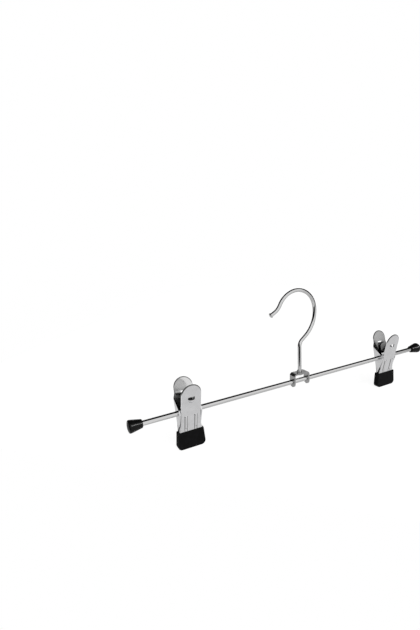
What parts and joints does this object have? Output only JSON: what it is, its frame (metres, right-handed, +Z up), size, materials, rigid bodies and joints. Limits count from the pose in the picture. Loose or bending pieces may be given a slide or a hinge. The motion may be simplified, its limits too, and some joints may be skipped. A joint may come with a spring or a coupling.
{
  "type": "skirt hanger",
  "caption": "Metal skirt hanger: swivelling wire hook, straight round bar with flared end caps, and sprung sliding clips with soft jaw tips that grip a waistband.",
  "frame": {"origin": "where the hook rests on a rail: inside the crown, on the swivel's axis", "axes": "+X along the bar, +Y away from the clips' front, +Z up"},
  "size_m": [0.3, 0.0196, 0.1092],
  "materials": {
    "hook_chrome": "polished",
    "yoke_chrome": "plated, dull",
    "bar_chrome": "polished",
    "clip_steel": "bright plated, slightly satin",
    "spring_steel": "drawn wire, black oil-tempered",
    "cap_vinyl": "satin black",
    "tip_rubber": "matte black"
  },
  "bodies": {
    "hook": {"hook": "hook_chrome"},
    "frame": {"yoke": "yoke_chrome", "bar": "bar_chrome", "left_end_cap": "cap_vinyl", "right_end_cap": "cap_vinyl"},
    "left_clip_carriage": {"left_clip_spring": "spring_steel"},
    "left_clip_rear": {"left_clip_rear_leaf": "clip_steel", "left_clip_rear_jaw_tip": "tip_rubber"},
    "left_clip_front": {"left_clip_front_leaf": "clip_steel", "left_clip_front_jaw_tip": "tip_rubber"},
    "right_clip_carriage": {"right_clip_spring": "spring_steel"},
    "right_clip_rear": {"right_clip_rear_leaf": "clip_steel", "right_clip_rear_jaw_tip": "tip_rubber"},
    "right_clip_front": {"right_clip_front_leaf": "clip_steel", "right_clip_front_jaw_tip": "tip_rubber"}
  },
  "joints": [
    {"name": "hook_swivel", "type": "hinge", "parent": "hook", "child": "frame", "pos_m": [0, 0, -0.0764], "axis": [0, 0, 1], "continuous": true},
    {"name": "left_clip_slide", "type": "slide", "parent": "frame", "child": "left_clip_carriage", "axis": [1, 0, 0], "range_m": [-0.0264, 0.0862]},
    {"name": "left_clip_swing", "type": "hinge", "parent": "left_clip_carriage", "child": "left_clip_rear", "pos_m": [-0.1035, 0, -0.0764], "axis": [1, 0, 0], "continuous": true},
    {"name": "left_clip_open", "type": "hinge", "parent": "left_clip_rear", "child": "left_clip_front", "pos_m": [-0.1035, 0, -0.0764], "axis": [-1, 0, 0], "range_deg": [0, 30], "stiffness_Nm_per_rad": 0.12, "springref_deg": -91.67, "deforming": ["left_clip_spring"]},
    {"name": "right_clip_slide", "type": "slide", "parent": "frame", "child": "right_clip_carriage", "axis": [1, 0, 0], "range_m": [-0.0862, 0.0264]},
    {"name": "right_clip_swing", "type": "hinge", "parent": "right_clip_carriage", "child": "right_clip_rear", "pos_m": [0.1035, 0, -0.0764], "axis": [1, 0, 0], "continuous": true},
    {"name": "right_clip_open", "type": "hinge", "parent": "right_clip_rear", "child": "right_clip_front", "pos_m": [0.1035, 0, -0.0764], "axis": [-1, 0, 0], "range_deg": [0, 30], "stiffness_Nm_per_rad": 0.12, "springref_deg": -91.67, "deforming": ["right_clip_spring"]}
  ]
}
